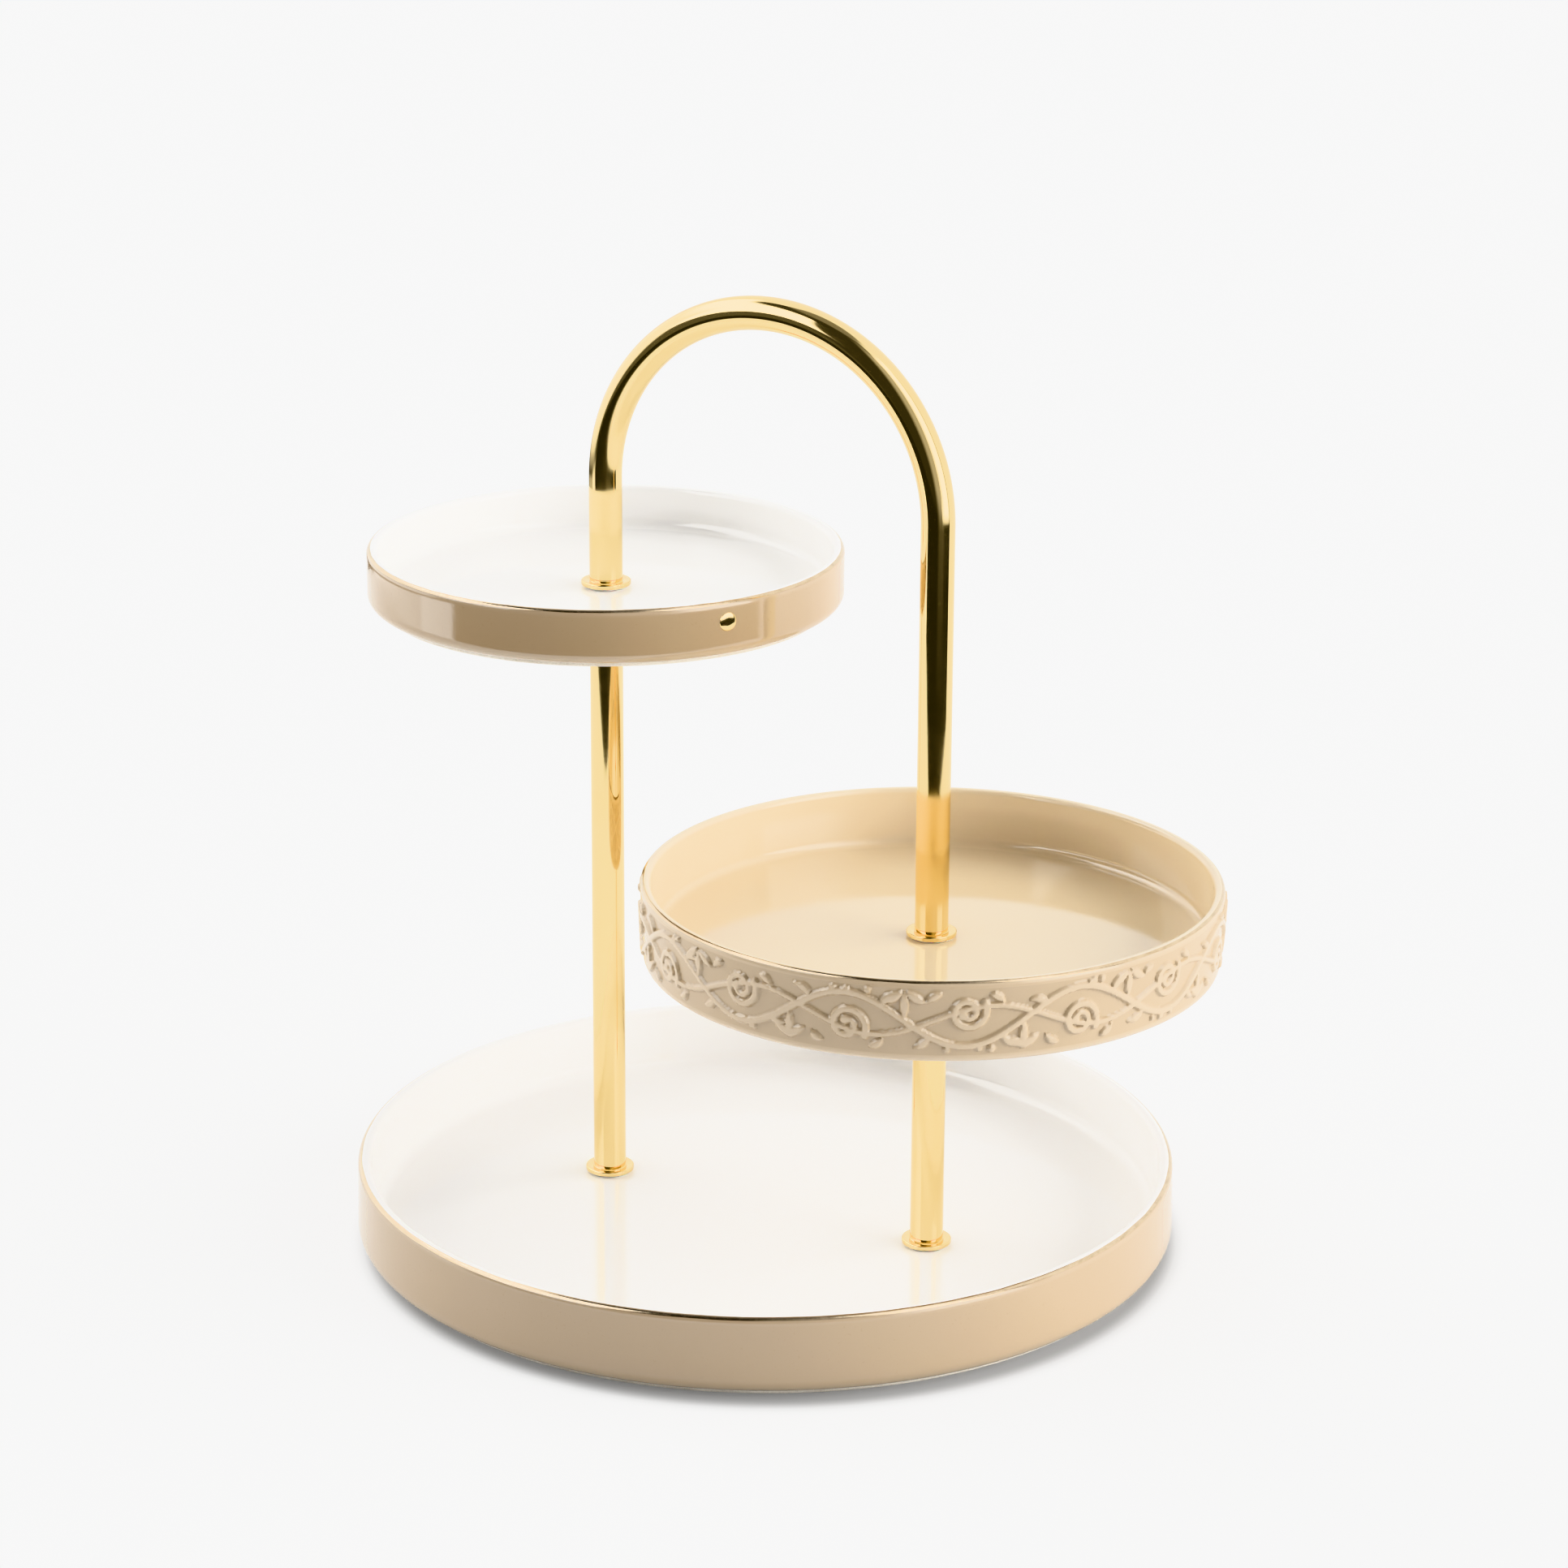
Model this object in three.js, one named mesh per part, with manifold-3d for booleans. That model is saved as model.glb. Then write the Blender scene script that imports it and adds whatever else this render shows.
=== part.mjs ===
// Three-tier cake stand: three round glazed trays on two gilt tube posts that join in one carrying arch.
// Millimetres, +Z up. The origin is the base tray's axis on the table, +X points from the left post to the
// right one, and -Y is the front. Each tray is clamped between two collars on its own leg of the arch.
import * as THREE from "three";
import { mergeVertices } from "three/addons/utils/BufferGeometryUtils.js";
import Module from "manifold-3d";

// ---- Driving dimensions ----

const POST_SPACING = 134.4; // between the axes of the two legs
const TUBE_R = 6; // outside of posts and arch
const TUBE_WALL = 1;
const ARCH_SPRING_Z = 275.4; // where the legs turn into the half circle

// A tray's heights are above the table. The wall leans from bottomR to rimR. The foot is a ring under the
// wall, and the underside is the flat floor inside that ring.
const BASE_TRAY = {
  rimZ: 30.3,
  rimR: 149.5,
  bottomR: 150,
  wall: 4.8,
  floorTop: 6.5,
  underside: 2,
  wallBottom: 2,
  footZ: 0,
  footOuterR: 144.8,
  footInnerR: 139,
  cornerR: 4.5,
  filletR: 8,
  sides: 64,
};
const MID_TRAY = {
  rimZ: 147.1,
  rimR: 103.3,
  bottomR: 102.3,
  wall: 3.8,
  floorTop: 125.3,
  underside: 120.2,
  wallBottom: 117.4,
  footZ: 117.4,
  footOuterR: 99.3,
  footInnerR: 92,
  cornerR: 3,
  filletR: 7,
  sides: 56,
};
const TOP_TRAY = {
  rimZ: 250.6,
  rimR: 86,
  bottomR: 86,
  wall: 4.2,
  floorTop: 235,
  underside: 230.6,
  wallBottom: 230.8,
  footZ: 229,
  footOuterR: 81.2,
  footInnerR: 76,
  cornerR: 3.5,
  filletR: 6,
  sides: 56,
};

const HOLE_R = 5; // the tray hole that a bush's sleeve fills
const COLLAR_R = 9;
const COLLAR_DISC = 1.7; // thickness of the disc that bears on a tray
const COLLAR_NECK = 0.9; // short neck between the disc and the tube's end
const COLLAR_HEIGHT = COLLAR_DISC + COLLAR_NECK; // from a collar's bearing face to the tube's end
const COLLAR_CHAMFER = 0.4;
const SPIGOT_LENGTH = 3; // the part of a collar that centres it in the tube
const GASKET = 0.6;
const GASKET_R = 8;
const SLEEVE_SHORT = 0.4; // how far a bush's sleeve stops short of the hole's far end
const INSERT_LENGTH = 16;
const THREAD_R = 3; // M6
const STUD_CHAMFER = 0.8;
const FIT = 0.1; // radial play of a pressed or screwed pair
const SWIVEL_GAP = 0.05; // between a tray and the silicone that it turns on
const COUNTERBORE_R = 9.6;
const COUNTERBORE_DEPTH = 1.6;
const BASE_SEAT = BASE_TRAY.underside + COUNTERBORE_DEPTH; // the counterbore's flat end
const WASHER_R = 8.5;
const WASHER = 0.8;
const SCREW_HEAD_R = 6.5;
const SCREW_HEAD = 1.5;
const SCREW_CHAMFER = 0.4;
const SOCKET_R = 2;
const SOCKET_DEPTH = 1;
const SCREW_REACH = 24; // from under the head to the tip
const HARDWARE_SIDES = 16;

// ---- Materials ----

const gilt = new THREE.MeshStandardMaterial({ color: 0xe8bf5e, roughness: 0.08, metalness: 1 });
const steel = new THREE.MeshStandardMaterial({ color: 0xb9babc, roughness: 0.35, metalness: 1 });
const whiteGlaze = new THREE.MeshStandardMaterial({ color: 0xf2efea, roughness: 0.1, metalness: 0 });
const beigeGlaze = new THREE.MeshStandardMaterial({ color: 0xd3bc95, roughness: 0.15, metalness: 0 });
const silicone = new THREE.MeshStandardMaterial({ color: 0xe9e9e6, roughness: 0.55, metalness: 0 });

// ---- Shapes ----

// Points of a circular arc in the outline's plane, angles in degrees, both ends included.
function arc(r, z, radius, from, to, steps) {
  return Array.from({ length: steps + 1 }, (_, i) => {
    const angle = THREE.MathUtils.degToRad(from + ((to - from) * i) / steps);
    return [r + radius * Math.cos(angle), z + radius * Math.sin(angle)];
  });
}

// A solid of revolution about +Z from an outline of [radius, height] points. A ring's outline closes on itself.
function turned(outline, sides = HARDWARE_SIDES) {
  const onAxis = outline[0][0] === 0;
  const closed = onAxis ? outline : [...outline, outline[0]];
  const points = closed.map(([r, z]) => new THREE.Vector2(r, z));
  return new THREE.LatheGeometry(points, sides).rotateX(Math.PI / 2);
}

// A plain ring between two radii and two heights.
function ring(innerR, outerR, low, high) {
  return turned([
    [innerR, low],
    [outerR, low],
    [outerR, high],
    [innerR, high],
  ]);
}

// The outline of a tray from its underside round the foot, wall and lip to its floor. innerR is 0 or a hole.
function trayOutline(t, innerR) {
  const lipR = t.wall / 2;
  const foot = [
    [innerR, t.underside],
    [t.footInnerR, t.underside],
    [t.footInnerR, t.footZ],
    [t.footOuterR, t.footZ],
  ];
  if (t.wallBottom > t.footZ) foot.push([t.footOuterR, t.wallBottom]);
  const innerWallR = t.rimR - t.wall;
  return [
    ...foot,
    ...arc(t.bottomR - t.cornerR, t.wallBottom + t.cornerR, t.cornerR, -90, 0, 3),
    ...arc(t.rimR - lipR, t.rimZ - lipR, lipR, 0, 180, 4),
    ...arc(innerWallR - t.filletR, t.floorTop + t.filletR, t.filletR, 0, -90, 3),
    [innerR, t.floorTop],
  ];
}

// A tray that its leg passes through at the centre.
function tierTray(t) {
  return turned(trayOutline(t, HOLE_R), t.sides);
}

// The base tray, with a stepped screw hole under each post.
function baseTray(t, wasm) {
  const holes = [-POST_SPACING / 2, POST_SPACING / 2].map((x) => {
    const stepped = turned([
      [0, t.footZ],
      [COUNTERBORE_R, t.footZ],
      [COUNTERBORE_R, BASE_SEAT],
      [HOLE_R, BASE_SEAT],
      [HOLE_R, t.rimZ],
      [0, t.rimZ],
    ]);
    return stepped.translate(x, 0, 0);
  });
  return cut(turned(trayOutline(t, 0), t.sides), holes, wasm);
}

// The body less each of the tools, all closed geometries.
function cut(body, tools, wasm) {
  const solid = (geometry) => {
    geometry.deleteAttribute("normal");
    geometry.deleteAttribute("uv");
    const merged = mergeVertices(geometry, 1e-4);
    const vertProperties = merged.attributes.position.array;
    const triVerts = new Uint32Array(merged.index.array);
    return new wasm.Manifold(new wasm.Mesh({ numProp: 3, vertProperties, triVerts }));
  };
  const left = tools.reduce((rest, tool) => rest.subtract(solid(tool)), solid(body));
  const mesh = left.getMesh();
  const geometry = new THREE.BufferGeometry();
  geometry.setAttribute("position", new THREE.BufferAttribute(mesh.vertProperties, 3));
  geometry.setIndex(new THREE.BufferAttribute(mesh.triVerts, 1));
  geometry.computeVertexNormals();
  return geometry;
}

// The arch: one bent tube whose left leg ends higher than its right one.
function archTube(leftEndZ, rightEndZ) {
  const half = POST_SPACING / 2;
  const path = new THREE.CurvePath();
  const left = new THREE.Vector3(-half, 0, ARCH_SPRING_Z);
  const right = new THREE.Vector3(half, 0, ARCH_SPRING_Z);
  path.add(new THREE.LineCurve3(new THREE.Vector3(-half, 0, leftEndZ), left));
  path.add(new HalfCircle(half, ARCH_SPRING_Z));
  path.add(new THREE.LineCurve3(right, new THREE.Vector3(half, 0, rightEndZ)));
  const section = new THREE.Shape().absarc(0, 0, TUBE_R, 0, 2 * Math.PI);
  section.holes.push(new THREE.Path().absarc(0, 0, TUBE_R - TUBE_WALL, 0, 2 * Math.PI, true));
  return new THREE.ExtrudeGeometry(section, { extrudePath: path, steps: 36, curveSegments: 8 });
}

// The half circle from the left leg over to the right one, in the XZ plane.
class HalfCircle extends THREE.Curve {
  constructor(radius, springZ) {
    super();
    this.radius = radius;
    this.springZ = springZ;
  }
  getPoint(t, target = new THREE.Vector3()) {
    const angle = Math.PI * (1 - t);
    return target.set(this.radius * Math.cos(angle), 0, this.springZ + this.radius * Math.sin(angle));
  }
}

// A collar standing on its disc, with its spigot pointing up into the tube.
function collar() {
  const neckTop = COLLAR_DISC + COLLAR_NECK;
  const boreR = THREAD_R + FIT;
  const spigotR = TUBE_R - TUBE_WALL - FIT;
  return turned([
    [boreR, 0],
    [COLLAR_R - COLLAR_CHAMFER, 0],
    [COLLAR_R, COLLAR_CHAMFER],
    [COLLAR_R, COLLAR_DISC - COLLAR_CHAMFER],
    [COLLAR_R - COLLAR_CHAMFER, COLLAR_DISC],
    [TUBE_R, COLLAR_DISC],
    [TUBE_R, neckTop],
    [spigotR, neckTop],
    [spigotR, neckTop + SPIGOT_LENGTH],
    [boreR, neckTop + SPIGOT_LENGTH],
  ]);
}

// A silicone bush: a flat flange on the tray's floor and a sleeve down into the tray's hole.
function bush(sleeveLength) {
  return turned([
    [THREAD_R + FIT, -sleeveLength],
    [HOLE_R - FIT, -sleeveLength],
    [HOLE_R - FIT, 0],
    [GASKET_R, 0],
    [GASKET_R, GASKET],
    [THREAD_R + FIT, GASKET],
  ]);
}

// A threaded steel insert, pressed into a tube's end.
function insert() {
  return ring(THREAD_R, TUBE_R - TUBE_WALL - FIT, 0, INSERT_LENGTH);
}

// A double-ended threaded stud of the given length, with chamfered ends.
function stud(length) {
  const r = THREAD_R - FIT;
  return turned([
    [0, 0],
    [r - STUD_CHAMFER, 0],
    [r, STUD_CHAMFER],
    [r, length - STUD_CHAMFER],
    [r - STUD_CHAMFER, length],
    [0, length],
  ]);
}

// A low-head screw, head down, with a driving socket in its head and its bearing face at height 0.
function screw() {
  const r = THREAD_R - FIT;
  return turned([
    [0, SOCKET_DEPTH - SCREW_HEAD],
    [SOCKET_R, SOCKET_DEPTH - SCREW_HEAD],
    [SOCKET_R, -SCREW_HEAD],
    [SCREW_HEAD_R - SCREW_CHAMFER, -SCREW_HEAD],
    [SCREW_HEAD_R, SCREW_CHAMFER - SCREW_HEAD],
    [SCREW_HEAD_R, 0],
    [r, 0],
    [r, SCREW_REACH],
    [0, SCREW_REACH],
  ]);
}

// ---- Assembly ----

const wasm = await Module();
wasm.setup();

const stand = new THREE.Group();
const leftLeg = new THREE.Group();
const rightLeg = new THREE.Group();
leftLeg.position.x = -POST_SPACING / 2;
rightLeg.position.x = POST_SPACING / 2;
stand.add(leftLeg, rightLeg);

function place(group, name, geometry, material, z = 0) {
  const mesh = new THREE.Mesh(geometry, material.clone());
  mesh.name = name;
  mesh.position.z = z;
  group.add(mesh);
  return mesh;
}

// What stands on a tray at a leg: the bush, the collar, and the insert in the tube above them.
function addAbove(leg, prefix, floorTop, holeBottom, insertName, gap) {
  const collarZ = floorTop + gap + GASKET;
  const sleeveLength = floorTop - holeBottom - SLEEVE_SHORT;
  place(leg, `${prefix}_bush`, bush(sleeveLength), silicone, floorTop + gap);
  place(leg, `${prefix}_upper_collar`, collar(), gilt, collarZ);
  const tubeEnd = collarZ + COLLAR_HEIGHT;
  place(leg, insertName, insert(), steel, tubeEnd + SPIGOT_LENGTH + FIT);
  return tubeEnd;
}

// What holds a tier tray up from below: a flat gasket, an upside-down collar and the post's upper insert.
function addBelow(leg, prefix, underside, insertName) {
  const collarZ = underside - SWIVEL_GAP - GASKET;
  place(leg, `${prefix}_lower_gasket`, ring(THREAD_R + FIT, GASKET_R, 0, GASKET), silicone, collarZ);
  const lower = place(leg, `${prefix}_lower_collar`, collar(), gilt, collarZ);
  lower.rotation.x = Math.PI;
  const tubeEnd = collarZ - COLLAR_HEIGHT;
  place(leg, insertName, insert(), steel, tubeEnd - SPIGOT_LENGTH - FIT - INSERT_LENGTH);
  return tubeEnd;
}

// The screw that holds a post down, with its steel washer and silicone gasket, in the base's counterbore.
function addBaseScrew(leg, prefix) {
  const washerZ = BASE_SEAT - GASKET - WASHER;
  place(leg, `${prefix}_gasket`, ring(THREAD_R + FIT, GASKET_R, 0, GASKET), silicone, BASE_SEAT - GASKET);
  place(leg, `${prefix}_washer`, ring(THREAD_R + FIT, WASHER_R, 0, WASHER), steel, washerZ);
  place(leg, `${prefix}_screw`, screw(), steel, washerZ);
}

// One leg below its tier tray: base fixings, post and tray fixings. Returns where the arch's tube ends.
function addLeg(leg, side, tier, tray) {
  addBaseScrew(leg, `base_${side}`);
  const lowerInsert = `${side}_post_lower_insert`;
  const postLow = addAbove(leg, `base_${side}`, BASE_TRAY.floorTop, BASE_SEAT, lowerInsert, 0);
  const postHigh = addBelow(leg, tier, tray.underside, `${side}_post_upper_insert`);
  place(leg, `${side}_post`, ring(TUBE_R - TUBE_WALL, TUBE_R, postLow, postHigh), gilt);
  const archInsert = `arch_${side}_insert`;
  const archLow = addAbove(leg, tier, tray.floorTop, tray.underside, archInsert, SWIVEL_GAP);
  const studLow = postHigh - SPIGOT_LENGTH - INSERT_LENGTH;
  const studHigh = archLow + SPIGOT_LENGTH + INSERT_LENGTH;
  place(leg, `${tier}_stud`, stud(studHigh - studLow), steel, studLow);
  return archLow;
}

place(stand, "base_tray", baseTray(BASE_TRAY, wasm), whiteGlaze);
place(rightLeg, "mid_tray", tierTray(MID_TRAY), beigeGlaze);
place(leftLeg, "top_tray", tierTray(TOP_TRAY), whiteGlaze);
const archLeftEnd = addLeg(leftLeg, "left", "top_tray", TOP_TRAY);
const archRightEnd = addLeg(rightLeg, "right", "mid_tray", MID_TRAY);
place(stand, "handle_arch", archTube(archLeftEnd, archRightEnd), gilt);

export default stand;
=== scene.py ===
"""Looks of the tiered cake stand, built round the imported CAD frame: three glazed trays, a gilt tube frame
with its fittings, and a plain studio."""

import math
import random

import bmesh
import bpy
import numpy as np
from mathutils import Matrix, Vector


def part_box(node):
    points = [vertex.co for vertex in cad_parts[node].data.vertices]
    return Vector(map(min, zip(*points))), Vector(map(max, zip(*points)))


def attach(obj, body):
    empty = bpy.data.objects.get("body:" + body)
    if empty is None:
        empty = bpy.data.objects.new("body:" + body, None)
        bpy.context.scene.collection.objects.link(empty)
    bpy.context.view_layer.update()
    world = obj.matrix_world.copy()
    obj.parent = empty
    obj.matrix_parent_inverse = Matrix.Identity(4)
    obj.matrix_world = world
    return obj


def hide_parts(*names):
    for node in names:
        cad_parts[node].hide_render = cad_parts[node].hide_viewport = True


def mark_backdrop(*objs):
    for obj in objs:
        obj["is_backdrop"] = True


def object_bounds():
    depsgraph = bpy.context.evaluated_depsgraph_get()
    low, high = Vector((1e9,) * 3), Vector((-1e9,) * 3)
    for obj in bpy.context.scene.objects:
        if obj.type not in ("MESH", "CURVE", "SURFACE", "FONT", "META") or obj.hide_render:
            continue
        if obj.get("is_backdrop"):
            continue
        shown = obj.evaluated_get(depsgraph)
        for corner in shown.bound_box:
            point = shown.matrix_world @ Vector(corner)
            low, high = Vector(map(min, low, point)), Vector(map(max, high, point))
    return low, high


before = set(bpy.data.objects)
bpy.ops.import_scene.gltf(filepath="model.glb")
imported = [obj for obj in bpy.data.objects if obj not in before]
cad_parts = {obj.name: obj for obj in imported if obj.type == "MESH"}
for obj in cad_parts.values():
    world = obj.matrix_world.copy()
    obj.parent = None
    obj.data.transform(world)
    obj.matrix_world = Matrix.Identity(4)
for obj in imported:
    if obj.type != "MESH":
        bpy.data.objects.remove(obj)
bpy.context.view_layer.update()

MM = 0.001

# ---- What the frame says ----


def node_radius(node):
    """Half of a round node's width, in metres."""
    low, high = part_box(node)
    return (high.x - low.x) / 2


def node_height(node):
    """A node's height, in millimetres."""
    low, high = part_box(node)
    return (high.z - low.z) / MM


POST_X = {side: sum(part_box(f"{side}_post"), Vector()).x / 2 for side in ("left", "right")}
TUBE_R = node_radius("left_post")
COLLAR_R = node_radius("mid_tray_upper_collar")
ARCH_SPRING_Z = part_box("handle_arch")[1].z - TUBE_R - POST_X["right"]

# ---- Tray sizes ----

# Lengths in millimetres, heights above the tray's own lowest point. The wall leans from bottom_r to rim_r.
# The foot is the ring under the wall, and the underside is the tray's bottom inside that ring.
BASE = {
    "rim_r": 149.5, "bottom_r": 150.0, "wall": 4.8, "floor": 6.5, "underside": 2.0, "wall_bottom": 2.0,
    "foot_outer_r": 144.8, "foot_inner_r": 139.0, "corner_r": 4.5, "fillet_r": 5.0,
}
MID = {
    "rim_r": 103.3, "bottom_r": 102.3, "wall": 3.8, "floor": 7.9, "underside": 2.8, "wall_bottom": 0.0,
    "foot_outer_r": 99.3, "foot_inner_r": 92.0, "corner_r": 3.0, "fillet_r": 3.5,
}
TOP = {
    "rim_r": 86.0, "bottom_r": 86.0, "wall": 4.2, "floor": 6.0, "underside": 1.6, "wall_bottom": 1.8,
    "foot_outer_r": 81.2, "foot_inner_r": 76.0, "corner_r": 3.5, "fillet_r": 4.0,
}
HOLE_R = 5.0  # the hole that a post's stud or screw passes through
COUNTERBORE_R = 9.6
BASE_SEAT = 3.6  # height of the counterbore's flat end
CUTTER_LOW, CUTTER_HIGH = -1.0, 9.0  # the hole's cutter goes through the base from below to above
WELD = 0.001 * MM  # points closer than this are one
SHARP_ANGLE = 35  # degrees; edges that turn by more are shaded sharp
GILT_FROM = 33.0  # degrees round the lip, from the outer wall
GILT_TO = 70.0
GILT_WANDER = 1.5  # degrees that the painted line's edges stray
TRAY_SIDES = 256
FITTING_SIDES = 96
RELIEF_SIDES = 1120
FOOT_BAND, OUTSIDE, GILT, INSIDE = range(4)  # material slots of a tray

# ---- Materials ----


class Graph:
    """A node material under construction: each method adds a node and returns its output."""

    def __init__(self, name):
        self.material = bpy.data.materials.new(name)
        self.material.use_nodes = True
        self.tree = self.material.node_tree
        self.shader = self.tree.nodes["Principled BSDF"]

    def node(self, kind, **values):
        made = self.tree.nodes.new(kind)
        for key, value in values.items():
            setattr(made, key, value)
        return made

    def link(self, value, socket):
        """Feeds a socket with another node's output, or with a plain value."""
        if isinstance(value, bpy.types.NodeSocket):
            self.tree.links.new(value, socket)
        else:
            socket.default_value = value

    def stretched(self, where, scale):
        """A point multiplied by scale, so that what is drawn there stretches by its inverse."""
        mapping = self.node("ShaderNodeMapping")
        self.link(where, mapping.inputs["Vector"])
        mapping.inputs["Scale"].default_value = scale
        return mapping.outputs["Vector"]

    def place(self, scale=(1, 1, 1)):
        """The point on the piece in metres, multiplied by scale."""
        return self.stretched(self.node("ShaderNodeTexCoord").outputs["Object"], scale)

    def attribute(self, name, output="Fac"):
        return self.node("ShaderNodeAttribute", attribute_name=name).outputs[output]

    def noise(self, where, size, detail=2.0, roughness=0.5):
        """Noise whose blotches are about size metres across."""
        made = self.node("ShaderNodeTexNoise")
        self.link(where, made.inputs["Vector"])
        made.inputs["Scale"].default_value = 1 / size
        made.inputs["Detail"].default_value = detail
        made.inputs["Roughness"].default_value = roughness
        return made.outputs["Fac"]

    def math(self, operation, a, b=0.0):
        made = self.node("ShaderNodeMath", operation=operation)
        self.link(a, made.inputs[0])
        self.link(b, made.inputs[1])
        return made.outputs[0]

    def spread(self, value, low, high, from_low=0.3, from_high=0.7):
        """value, remapped and clamped to low..high."""
        made = self.node("ShaderNodeMapRange")
        self.link(value, made.inputs["Value"])
        limits = {"From Min": from_low, "From Max": from_high, "To Min": low, "To Max": high}
        for key, number in limits.items():
            made.inputs[key].default_value = number
        return made.outputs["Result"]

    def ramp(self, value, stops):
        """A colour ramp with stops [(position, (r, g, b)), ...]."""
        made = self.node("ShaderNodeValToRGB")
        elements = made.color_ramp.elements
        while len(elements) < len(stops):
            elements.new(0.5)
        for element, (position, colour) in zip(elements, stops):
            element.position = position
            element.color = (*colour, 1)
        self.link(value, made.inputs["Fac"])
        return made.outputs["Color"]

    def bump(self, height, depth, below=None):
        """A bump of the given depth in metres, on top of another bump."""
        made = self.node("ShaderNodeBump")
        made.inputs["Distance"].default_value = depth
        self.link(height, made.inputs["Height"])
        if below is not None:
            self.link(below, made.inputs["Normal"])
        return made.outputs["Normal"]

    def finish(self, **sockets):
        for key, value in sockets.items():
            self.link(value, self.shader.inputs[key.replace("_", " ")])
        return self.material


def glaze(name, deep_and_shade, body, thin_and_highlight, rough=(0.05, 0.1), ripple=0.000012, ior=1.55):
    """Fired glaze whose colour follows the tone attribute: paler at a tone of 1, deeper at -1, with faint
    clouding and ripple. The outlines set the tone: paler over the lip where the glaze runs thinner, painted
    highlight on the bottom corner and the relief's crests, painted shade under the wall's foot and round the
    relief, and darker round the inner crease. Colours are for a tone of -1, 0 and 1; rough holds the least
    and the most roughness."""
    g = Graph(name)
    where = g.place()
    cloud = g.noise(where, size=0.035, detail=4, roughness=0.6)
    speck = g.noise(where, size=0.0012, detail=1)
    drift = g.math("MULTIPLY", g.math("SUBTRACT", cloud, 0.5), 0.14)
    fleck = g.spread(speck, low=0.0, high=-0.12, from_low=0.68, from_high=0.78)
    tone = g.math("ADD", g.attribute("tone"), g.math("ADD", drift, fleck))
    share = g.spread(tone, low=0, high=1, from_low=-1, from_high=1)
    colour = g.ramp(share, [(0.0, deep_and_shade), (0.5, body), (1.0, thin_and_highlight)])
    roughness = g.spread(g.noise(where, size=0.018, detail=5), *rough)
    waves = g.bump(g.noise(where, size=0.009, detail=1), depth=0.000022)
    peel = g.bump(g.noise(where, size=0.0011, detail=2), depth=ripple, below=waves)
    g.shader.inputs["IOR"].default_value = ior
    return g.finish(Base_Color=colour, Roughness=roughness, Normal=peel)


def bisque(name, dark, light):
    """Bare fired clay on the ring that the tray stands on: matt, sandy and a little soiled."""
    g = Graph(name)
    where = g.place()
    grit = g.noise(where, size=0.0006, detail=6, roughness=0.7)
    soil = g.noise(where, size=0.02, detail=3)
    mix = g.math("ADD", g.math("MULTIPLY", grit, 0.6), g.math("MULTIPLY", soil, 0.4))
    colour = g.ramp(mix, [(0.3, dark), (0.62, light)])
    roughness = g.spread(grit, low=0.75, high=0.95)
    return g.finish(Base_Color=colour, Roughness=roughness, Normal=g.bump(grit, depth=0.00012))


def painted_gilt(name):
    """The fired gold line on a lip: brush-streaked, a little thinly laid and worn in places."""
    g = Graph(name)
    where = g.place()
    streak = g.noise(g.place((1, 1, 6)), size=0.006, detail=5, roughness=0.6)
    wear = g.noise(where, size=0.0016, detail=4, roughness=0.7)
    mix = g.math("ADD", g.math("MULTIPLY", streak, 0.7), g.math("MULTIPLY", wear, 0.3))
    colour = g.ramp(mix, [(0.3, (0.48, 0.37, 0.24)), (0.5, (0.60, 0.48, 0.33)), (0.72, (0.70, 0.57, 0.41))])
    roughness = g.spread(wear, low=0.1, high=0.2)
    g.shader.inputs["Metallic"].default_value = 1.0
    return g.finish(Base_Color=colour, Roughness=roughness, Normal=g.bump(streak, depth=0.000004))


def polished_gold(name, coordinates="Object"):
    """Gold-plated polished metal: mirror bright, with hair-fine polishing lines along the third coordinate,
    dull patches and small marks. coordinates is Object or the name of an attribute."""
    g = Graph(name)
    marks_at = g.place() if coordinates == "Object" else g.attribute(coordinates, "Vector")
    lines_at = g.stretched(marks_at, (1, 1, 0.05))
    lines = g.noise(lines_at, size=0.0007, detail=4, roughness=0.6)
    patches = g.noise(marks_at, size=0.022, detail=5, roughness=0.6)
    marks = g.noise(marks_at, size=0.0014, detail=2)
    colour = g.ramp(patches, [(0.3, (0.98, 0.75, 0.35)), (0.7, (1.0, 0.775, 0.385))])
    base = g.spread(patches, low=0.035, high=0.085)
    pits = g.spread(marks, low=0.0, high=0.14, from_low=0.72, from_high=0.8)
    roughness = g.math("ADD", g.math("ADD", base, g.math("MULTIPLY", lines, 0.04)), pits)
    waviness = g.bump(g.noise(lines_at, size=0.004, detail=1), depth=0.00002)
    normal = g.bump(lines, depth=0.0000012, below=waviness)
    g.shader.inputs["Metallic"].default_value = 1.0
    return g.finish(Base_Color=colour, Roughness=roughness, Normal=normal)


def turned_steel(name):
    """Plain machined steel: grey, with rings of tool marks and faint staining."""
    g = Graph(name)
    where = g.place()
    rings = g.noise(g.place((0.2, 0.2, 1)), size=0.0005, detail=3)
    stain = g.noise(where, size=0.003, detail=4)
    colour = g.ramp(stain, [(0.3, (0.36, 0.36, 0.37)), (0.7, (0.60, 0.60, 0.61))])
    roughness = g.spread(rings, low=0.25, high=0.45)
    g.shader.inputs["Metallic"].default_value = 1.0
    return g.finish(Base_Color=colour, Roughness=roughness, Normal=g.bump(rings, depth=0.00002))


def silicone(name):
    """Clear silicone sheet: milky, soft-edged and slightly dusty."""
    g = Graph(name)
    dust = g.noise(g.place(), size=0.0012, detail=5)
    colour = g.ramp(dust, [(0.35, (0.66, 0.65, 0.61)), (0.7, (0.84, 0.83, 0.80))])
    g.shader.inputs["IOR"].default_value = 1.41
    g.shader.inputs["Subsurface Weight"].default_value = 0.5
    g.shader.inputs["Subsurface Scale"].default_value = 0.001
    roughness = g.spread(dust, low=0.35, high=0.6)
    return g.finish(Base_Color=colour, Roughness=roughness, Normal=g.bump(dust, depth=0.00001))


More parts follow.
